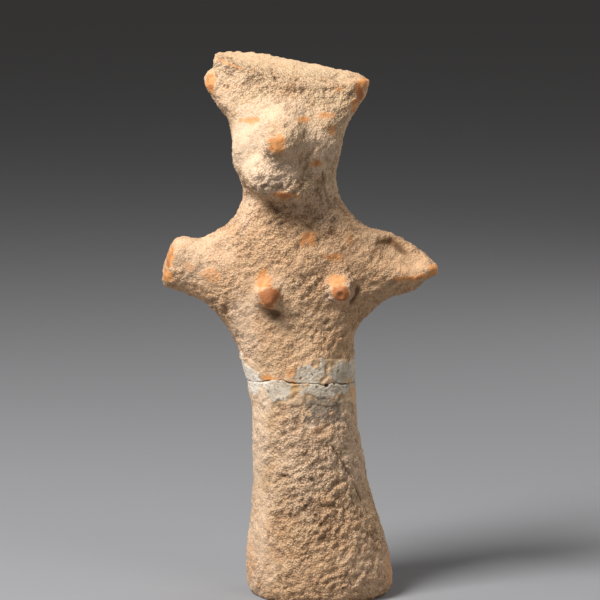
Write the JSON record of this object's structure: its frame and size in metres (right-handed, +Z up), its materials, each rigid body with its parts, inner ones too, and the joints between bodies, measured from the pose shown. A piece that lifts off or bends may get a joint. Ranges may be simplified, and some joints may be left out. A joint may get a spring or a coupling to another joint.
{
  "type": "terracotta figurine",
  "caption": "Standing hand-modelled female figurine with a pinched face, broken flaring headdress, stub arms and splayed foot, mended at the waist with plaster.",
  "frame": {"origin": "middle of the bounding box, on the plane the figurine stands on", "axes": "+Z up along the body, the face towards -Y, the figure's left arm towards +X"},
  "size_m": [0.0632, 0.0332, 0.1251],
  "materials": {
    "terracotta": "coarse matte fired clay, buff with worn orange patches",
    "plaster": "matte grey-white plaster, smeared by hand"
  },
  "bodies": {
    "root": {"upper_fragment": "terracotta", "lower_fragment": "terracotta", "plaster_fill": "plaster"}
  },
  "joints": []
}
